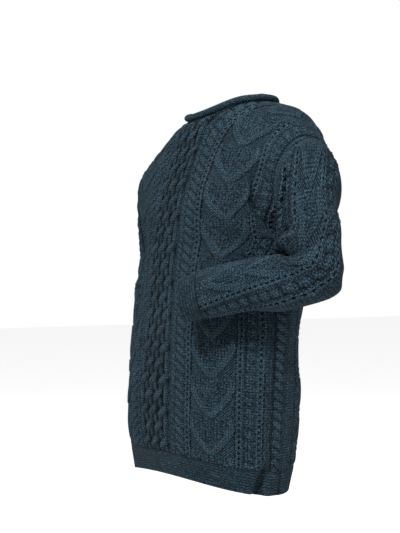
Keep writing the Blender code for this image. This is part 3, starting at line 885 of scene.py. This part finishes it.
# ---- Back piece ----
# The back of the body, knitted like the front and hanging straight down from the shoulders.
# It is sewn to the front along the sides and the shoulders.
BACK_SIDE = 1
NECK_DROP_BACK = 0.052
BACK_ROWS = (
    Row(0.000, 0.040, -0.685, 0.200, -0.045, -0.700, 0.60, 0.62, 0, 0.0),
    Row(0.046, 0.054, -0.641, 0.207, -0.045, -0.655, 0.60, 0.62, 0, 0.0),
    Row(0.150, 0.067, -0.543, 0.214, -0.043, -0.552, 0.60, 0.62, 0, 0.0),
    Row(0.260, 0.070, -0.440, 0.212, -0.034, -0.440, 0.60, 0.62, 0, 0.0),
    Row(0.350, 0.078, -0.350, 0.208, -0.022, -0.350, 0.60, 0.62, 0, 0.0),
    Row(0.455, 0.100, -0.245, 0.216, -0.008, -0.245, 0.58, 0.58, 0, 0.0),
    Row(0.520, 0.115, -0.180, 0.223, 0.058, -0.190, 0.55, 0.48, 25, 0.1),
    Row(0.580, 0.120, -0.120, 0.219, 0.070, -0.140, 0.55, 0.50, 35, 0.4),
    Row(0.640, 0.112, -0.060, 0.221, 0.060, -0.096, 0.58, 0.52, 50, 0.8),
    Row(0.690, 0.088, 0.000, 0.228, 0.036, -0.070, 0.55, 0.50, 70, 1.0),
    Row(0.720, 0.052, 0.015, 0.232, 0.022, -0.060, 0.48, 0.40, 80, 1.1),
    Row(0.750, 0.000, 0.017, 0.234, 0.010, -0.058, 0.45, 0.35, 90, 1.2),
)
BACK_FOLDS = (
    Fold(0.78, 0.270, 80, 0.120, 0.090, -0.008),
    Fold(0.52, 0.300, 5, 0.300, 0.060, -0.006),
    Fold(-0.40, 0.320, -5, 0.300, 0.060, -0.006),
    Fold(-0.75, 0.260, 8, 0.300, 0.050, 0.004),
)
BACK_CREASES = (
    Fold(0.88, 0.500, 8, 0.090, 0.028, -0.016),
    Fold(-0.88, 0.515, -8, 0.080, 0.026, -0.012),
    Fold(0.70, 0.430, 40, 0.080, 0.022, 0.004),
    Fold(0.30, 0.110, 70, 0.110, 0.028, -0.004),
    Fold(-0.25, 0.170, -65, 0.120, 0.030, 0.004),
    Fold(-0.66, 0.050, -12, 0.070, 0.022, -0.008),
)
BACK_COLUMNS = (
    (0.000, -0.790, -0.575, -0.375, 0.000, 0.375, 0.575, 0.790, 0.258, 0.258),
    (0.200, -0.785, -0.575, -0.375, 0.000, 0.375, 0.575, 0.785, 0.260, 0.260),
    (0.400, -0.810, -0.595, -0.390, 0.000, 0.390, 0.595, 0.810, 0.252, 0.252),
    (0.520, -0.880, -0.650, -0.420, 0.000, 0.420, 0.650, 0.880, 0.233, 0.233),
    (0.750, -0.880, -0.650, -0.450, 0.000, 0.450, 0.650, 0.880, 0.233, 0.233),
)
BACK_OUTER = (26, 26)

back_chart = panel_chart(BACK_ROWS, BACK_SIDE, BACK_FOLDS + BACK_CREASES)
back = panel_piece(
    "knitted_back", back_chart, BACK_COLUMNS, FRONT_STRETCHES, BACK_OUTER, NECK_DROP_BACK, False
)
dress(back, "back", cabled_wool)


# ---- Hem bands ----
# A band of garter stitch along the lower edge of the front and of the back, one piece with the
# pattern above it, where it draws the cloth in a little.
RIDGE_REPEAT, RIDGE_RELIEF = 0.0051, 0.0011
BAND_COLUMNS, BAND_MESH_ROWS = 232, 48

band_wool = wool("band_wool", 0.95, 0.9, (0.10, 0.06))


BAND_SINK = 0.1
# How much painted shade the band gets in its troughs, and how much less on its ridges.
BAND_SHADE_TONE, RIDGE_LESS_SHADE = 0.30, 0.55


def garter(aside, along):
    """The ridges of garter stitch: rows of small loops, each row set half a loop aside."""
    row = np.floor(along / RIDGE_REPEAT)
    ridge = np.abs(np.sin(np.pi * along / RIDGE_REPEAT)) ** 0.8
    loops = 0.80 + 0.20 * np.cos(2 * np.pi * (aside / STITCH_WIDTH + 0.5 * (row % 2)))
    return RIDGE_RELIEF * ridge * loops


def garter_band(name, chart, place, aside, from_edge, to_seam, closed):
    """Knits a band of garter stitch on a chart, from its free edge to the seam at its other end."""
    across, along = place
    points, normals = read_chart(chart, across, along)
    fade = smooth_step(to_seam / FADE_AT_SEAM)
    height = garter(aside, from_edge) * fade
    # Painted shade in the troughs between the ridges, less on the ridge tops.
    tone = BAND_SHADE_TONE + RIDGE_LESS_SHADE * height / RIDGE_RELIEF
    zero = np.zeros(aside.shape)
    marks = (aside, along, zero, zero, tone, zero)
    relief = height - sunk_ground(fade, BAND_SINK)
    return thin_shell(name, points, normals, relief, marks, closed)


for side_name, chart in (("front", front_chart), ("back", back_chart)):
    across = np.linspace(-1, 1, BAND_COLUMNS + 1)[None, :]
    along = np.linspace(0, HEM_BAND, BAND_MESH_ROWS + 1)[:, None]
    across, along = np.broadcast_arrays(across, along)
    to_seam = np.minimum((1 - np.abs(across)) * PANEL_HALF, HEM_BAND - along)
    aside = across * PANEL_HALF
    name = "hem_band_" + side_name
    band = garter_band(name, chart, (across, along), aside, along, to_seam, False)
    dress(band, "hem_" + side_name, band_wool)


# ---- Sleeves ----
# Two sleeves hung from dropped shoulders, knitted from the armhole down with a row of hearts along
# the top and ladders and lumps beside it, and folded where the left one bends across the belly. Each
# is sewn in all round, and ends in a short band of garter stitch.
CUFF_BAND = 0.038
LEFT_HAND = 1
RIGHT_HAND = -1
ARMHOLE_POINTS = 60

# Half the girth that the folds' way round is measured on, and how far down from the armhole the
# folds reach their full height.
SLEEVE_HALF = 0.17
SLEEVE_FADE = 0.05

Ring = namedtuple("Ring", "x y z tip_x tip_y tip_z face_x face_y face_z face_r side_r")

# A row for each section of a sleeve below its armhole: its centre, the way the sleeve runs there,
# the way its middle column faces, and its half width towards that column and square to it.
LEFT_RINGS = (
    Ring(0.248, -0.011, -0.158, 0.98, -0.05, -0.18, 0.14, -0.08, 0.97, 0.082, 0.072),
    Ring(0.256, -0.026, -0.200, 0.75, -0.08, -0.62, 0.60, -0.35, 0.70, 0.062, 0.060),
    Ring(0.276, -0.035, -0.248, 0.37, -0.12, -0.92, 0.75, -0.55, 0.40, 0.055, 0.054),
    Ring(0.289, -0.044, -0.303, -0.30, -0.42, -0.80, 0.72, -0.60, 0.25, 0.053, 0.060),
    Ring(0.263, -0.078, -0.317, -0.74, -0.65, -0.20, 0.69, -0.66, 0.25, 0.047, 0.050),
    Ring(0.218, -0.119, -0.323, -0.74, -0.65, -0.17, 0.69, -0.66, 0.25, 0.045, 0.046),
    Ring(0.171, -0.161, -0.334, -0.74, -0.65, -0.17, 0.69, -0.66, 0.25, 0.042, 0.044),
    Ring(0.122, -0.199, -0.350, -0.74, -0.65, -0.17, 0.69, -0.66, 0.25, 0.035, 0.039),
)
RIGHT_RINGS = (
    Ring(-0.249, 0.004, -0.160, -0.97, 0.05, -0.22, -0.17, 0.05, 0.97, 0.080, 0.062),
    Ring(-0.254, 0.010, -0.203, -0.72, 0.00, -0.68, -0.68, -0.20, 0.70, 0.056, 0.056),
    Ring(-0.266, 0.012, -0.258, -0.20, 0.00, -0.98, -0.90, -0.35, 0.20, 0.047, 0.052),
    Ring(-0.266, 0.003, -0.345, 0.03, -0.12, -1.00, -0.90, -0.40, 0.00, 0.047, 0.050),
    Ring(-0.265, -0.009, -0.425, 0.02, -0.15, -0.98, -0.90, -0.40, 0.00, 0.045, 0.047),
    Ring(-0.263, -0.022, -0.500, 0.05, -0.17, -0.97, -0.90, -0.40, 0.00, 0.041, 0.043),
    Ring(-0.259, -0.031, -0.555, 0.05, -0.17, -0.97, -0.90, -0.40, 0.00, 0.035, 0.038),
)

# The large folds. The way across a sleeve is 0 down its middle column, 1 at the underarm seam going
# round by the front, and -1 at the same seam going round by the back.
LEFT_FOLDS = (
    Fold(0.66, 0.135, 80, 0.080, 0.034, 0.012),
    Fold(0.60, 0.180, 80, 0.080, 0.036, -0.008),
    Fold(-0.55, 0.120, 75, 0.100, 0.036, 0.004),
)
RIGHT_FOLDS = (
    Fold(0.45, 0.170, 75, 0.100, 0.040, -0.006),
    Fold(0.55, 0.230, 80, 0.100, 0.036, 0.005),
    Fold(-0.50, 0.200, -75, 0.100, 0.036, -0.005),
)

# Knitted lengths down a sleeve, and how far its pattern is turned towards its front at each.
LEFT_TWIST = (
    (0.00, 0.12, 0.16, 0.20, 0.24, 0.28, 0.32, 0.36, 0.43),
    (0.000, 0.000, 0.022, 0.042, 0.030, 0.021, 0.013, 0.007, 0.000),
)
RIGHT_TWIST = ((0.00, 0.12, 0.30, 0.45), (0.000, 0.004, 0.010, 0.006))

# Smaller creases: those that the bent elbow pushes up, and on both arms those below the shoulder.
LEFT_CREASES = (
    Fold(0.215, 0.075, 3, 0.075, 0.011, 0.005),
    Fold(0.290, 0.070, 4, 0.060, 0.011, -0.014),
    Fold(0.360, 0.080, 6, 0.070, 0.013, 0.007),
    Fold(0.450, 0.085, 4, 0.100, 0.017, -0.034),
    Fold(0.290, 0.147, 78, 0.042, 0.017, 0.019),
    Fold(0.330, 0.120, 75, 0.044, 0.012, -0.010),
    Fold(0.235, 0.174, 68, 0.052, 0.013, -0.009),
    Fold(0.180, 0.198, 66, 0.050, 0.012, 0.004),
    Fold(0.140, 0.235, 62, 0.050, 0.012, -0.004),
    Fold(0.05, 0.255, 55, 0.050, 0.015, 0.003),
    Fold(-0.25, 0.215, 78, 0.060, 0.014, 0.004),
    Fold(-0.45, 0.180, 82, 0.070, 0.014, -0.004),
    Fold(0.55, 0.300, 40, 0.060, 0.016, 0.003),
)
RIGHT_CREASES = (
    Fold(0.50, 0.070, 8, 0.070, 0.018, -0.006),
    Fold(0.30, 0.080, 8, 0.070, 0.018, 0.004),
    Fold(0.10, 0.190, 70, 0.060, 0.016, -0.004),
    Fold(-0.30, 0.260, 75, 0.070, 0.016, 0.003),
)

# The sleeve's pattern, as metres from its middle column, and for one ladder from the armhole.
SLEEVE_HEARTS_HALF, SLEEVE_ARM_HALF = 0.024, 0.0058
SLEEVE_LADDER, SLEEVE_LUMPS, SLEEVE_OUTER_LADDER = 0.0340, 0.0550, 0.0755
ARMHOLE_LADDER = 0.011
SLEEVE_PLAIN_MOSS, SLEEVE_LUMP_MOSS = 0.8, 0.4
SLEEVE_STRETCHES = (
    (0.0000, 0.0270, 16),
    (0.0270, 0.0410, 9),
    (0.0410, 0.0680, 14),
    (0.0680, 0.0830, 9),
)
SLEEVE_OUTER = (34, 34)
SLEEVE_MESH_ROWS = 212
CUFF_COLUMNS, CUFF_MESH_ROWS = 132, 40


def way_along(line):
    """How far along a line each of its points lies."""
    steps = np.linalg.norm(np.diff(line, axis=0), axis=1)
    return np.concatenate([[0], np.cumsum(steps)])


def sleeve_rings(table, hand, count):
    """The points round each section of a sleeve, from its middle column to the front and round."""
    rings = []
    for ring in table:
        tip = unit([ring.tip_x, ring.tip_y, ring.tip_z])
        face = np.array([ring.face_x, ring.face_y, ring.face_z])
        face = unit(face - tip * (face @ tip))
        side = np.cross(tip, face) * hand
        turn = np.linspace(0, 2 * np.pi, count)[:, None]
        centre = np.array([ring.x, ring.y, ring.z])
        ring_points = centre + face * ring.face_r * np.cos(turn)
        rings.append(ring_points + side * ring.side_r * np.sin(turn))
    return rings


def sleeve_chart(table, folds, hand):
    """A chart of a sleeve's smooth outer face, and its girth at each length."""
    edge_alongs = np.linspace(SHOULDER, UNDERARM, ARMHOLE_POINTS)
    edge_across = np.full(ARMHOLE_POINTS, float(hand))
    down = read_chart(front_chart, edge_across, edge_alongs)[0]
    up = read_chart(back_chart, edge_across, edge_alongs)[0][::-1]
    armhole = np.vstack([down, up[1:]])
    rings = np.array([armhole] + sleeve_rings(table, hand, len(armhole)))
    centres = rings[:, :-1].mean(axis=1)
    keys = way_along(centres)
    alongs = np.linspace(0, keys[-1], round(keys[-1] / CHART_STEP) + 1)
    points = curve_through(keys, rings, alongs)
    shares = np.linspace(0, 2, len(armhole))
    heights = fold_heights(
        folds,
        [((shares - fold.across + 1) % 2 - 1)[None, :] * SLEEVE_HALF for fold in folds],
        alongs[:, None],
    )
    heights *= np.minimum(alongs / SLEEVE_FADE, 1)[:, None]
    middle = points[:, :-1].mean(axis=1)[:, None, :]
    points = points + unit(points - middle) * heights[:, :, None]
    girth = np.linalg.norm(np.diff(points, axis=1), axis=2).sum(axis=1)
    around = np.concatenate([points[:, -2:-1], points, points[:, 1:2]], axis=1)
    forward = (around[:, 2:] - around[:, :-2]) / 2
    down = np.gradient(points, axis=0)
    normals = unit(np.cross(forward, down))
    if (normals * (points - middle)).sum() < 0:
        normals = -normals
    # The chart runs from one side of the underarm seam to the other, with the middle at 0.
    half = len(shares) // 2
    points = np.concatenate([points[:, half:-1], points[:, : half + 1]], axis=1)
    normals = np.concatenate([normals[:, half:-1], normals[:, : half + 1]], axis=1)
    return shares - 1, alongs, points, normals, girth


def sleeve_pattern(across, along):
    """The relief of a sleeve."""
    aside = np.abs(across)
    relief = Relief(aside.shape)
    relief.lay_hearts(aside, -along, SLEEVE_HEARTS_HALF, SLEEVE_ARM_HALF)
    relief.lay_plain(aside > SLEEVE_OUTER_LADDER + PLAIN_START, SLEEVE_PLAIN_MOSS)
    relief.lay_lumps(aside - SLEEVE_LUMPS, along, 0, SLEEVE_LUMP_MOSS)
    for middle in (SLEEVE_LADDER, SLEEVE_OUTER_LADDER):
        relief.lay_ladder(aside - middle, along)
    relief.lay_ladder(along - ARMHOLE_LADDER, aside)
    return relief


for side_name, table, folds, hand, twist in (
    ("left", LEFT_RINGS, LEFT_FOLDS + LEFT_CREASES, LEFT_HAND, LEFT_TWIST),
    ("right", RIGHT_RINGS, RIGHT_FOLDS + RIGHT_CREASES, RIGHT_HAND, RIGHT_TWIST),
):
    chart = sleeve_chart(table, folds, hand)
    length, girth = chart[1][-1], chart[4]
    cuff_start = length - CUFF_BAND
    rows = np.linspace(0, cuff_start, SLEEVE_MESH_ROWS + 1)
    halves = np.interp(rows, chart[1], girth) / 2
    turned = np.interp(rows, *twist)
    pattern = np.array(
        [
            mesh_columns(SLEEVE_STRETCHES, SLEEVE_OUTER, half + shift, half - shift)
            for half, shift in zip(halves, turned)
        ]
    )
    across = np.clip((pattern + turned[:, None]) / halves[:, None], -1, 1)
    along = np.broadcast_to(rows[:, None], across.shape)
    points, normals = read_chart(chart, across, along)
    laid = sleeve_pattern(pattern, along)
    fade = smooth_step(np.minimum(along, cuff_start - along) / FADE_AT_SEAM)
    under_seam = smooth_step((1 - np.abs(across)) * halves[:, None] / FADE_AT_SEAM)
    height = laid.height * fade * under_seam
    relief = height - sunk_ground(fade, BODY_SINK)
    marks = (np.abs(pattern), along, plain_side(height), laid.moss, laid.tone, laid.holes)
    name = "knitted_sleeve_" + side_name
    sleeve = thin_shell(name, points, normals, relief, marks, True)
    dress(sleeve, "sleeve_" + side_name, cabled_wool)

    # The cuff: a short band of garter stitch that closes in round the end of the sleeve.
    across = np.linspace(-1, 1, CUFF_COLUMNS + 1)[None, :]
    along = np.linspace(cuff_start, length, CUFF_MESH_ROWS + 1)[:, None]
    across, along = np.broadcast_arrays(across, along)
    aside = across * halves[-1]
    to_seam = along - cuff_start
    name = "cuff_band_" + side_name
    cuff = garter_band(name, chart, (across, along), aside, length - along, to_seam, True)
    dress(cuff, "cuff_" + side_name, band_wool)


# ---- Neckband ----
# A low stand of plain stocking stitch knitted up from the neckline, whose edge is left to roll
# outward over itself.
STAND = 0.010
STAND_LEAN = 0.30
ROLL_RADIUS = 0.0022
ROLL_TURN = 280.0
NECK_POINTS = 121
STAND_POINTS = 5
ROLL_POINTS = 26
# An even painted shade over the whole neckband.
NECK_SHADE_TONE = 0.7

neck_wool = wool("neck_wool", 0.95, 0.9, (0.25, 0.25))
seam = []
for chart, drop, way in ((front_chart, NECK_DROP_FRONT, 1), (back_chart, NECK_DROP_BACK, -1)):
    across = way * NECK_SHARE * np.sin(np.linspace(-np.pi / 2, np.pi / 2, NECK_POINTS))
    tops = SHOULDER - drop * np.sqrt(np.maximum(1 - (across / NECK_SHARE) ** 2, 0))
    seam.append(read_chart(chart, across, tops)[0][:-1])
seam = np.vstack(seam)
along_neck = unit(np.roll(seam, -2, axis=0) - np.roll(seam, 2, axis=0))
towards_middle = unit(np.cross([0, 0, 1], along_neck))
rise = unit(unit(np.cross(along_neck, towards_middle)) + towards_middle * STAND_LEAN)
outward = np.cross(along_neck, rise)
seam, outward, rise = (np.vstack([values, values[:1]]) for values in (seam, outward, rise))

# The band's section, as its way outward and up from the seam: up its inner face, round the roll's
# outer side, back round the roll's hollow, and down the stand's outer face.
turns = np.radians(np.linspace(0, ROLL_TURN, ROLL_POINTS))
stand = np.linspace(0, STAND, STAND_POINTS + 1)[:-1]
section = [(-CLOTH, up) for up in stand]
for radius, around in ((ROLL_RADIUS + CLOTH, turns), (ROLL_RADIUS, turns[::-3])):
    for turn in around:
        section.append((ROLL_RADIUS - radius * np.cos(turn), STAND + radius * np.sin(turn)))
section += [(0.0, up) for up in stand[::-1]]
section = np.array(section + [section[0]])
rolled = seam[None] + outward[None] * section[:, :1, None] + rise[None] * section[:, 1:, None]
section_way, neck_way = np.meshgrid(way_along(section), way_along(seam), indexing="ij")
zero = np.zeros(neck_way.shape)
marks = (neck_way, section_way, zero, zero, zero + NECK_SHADE_TONE, zero)

shape = bmesh.new()
place = shape.verts.layers.int.new("place")
lay_grid(shape, place, rolled, 1, rolled.shape[1])
bmesh.ops.remove_doubles(shape, verts=shape.verts, dist=SAME_PLACE)
neckband = finish_piece("knitted_neckband", shape, place, marks)
dress(neckband, "neckband", neck_wool)
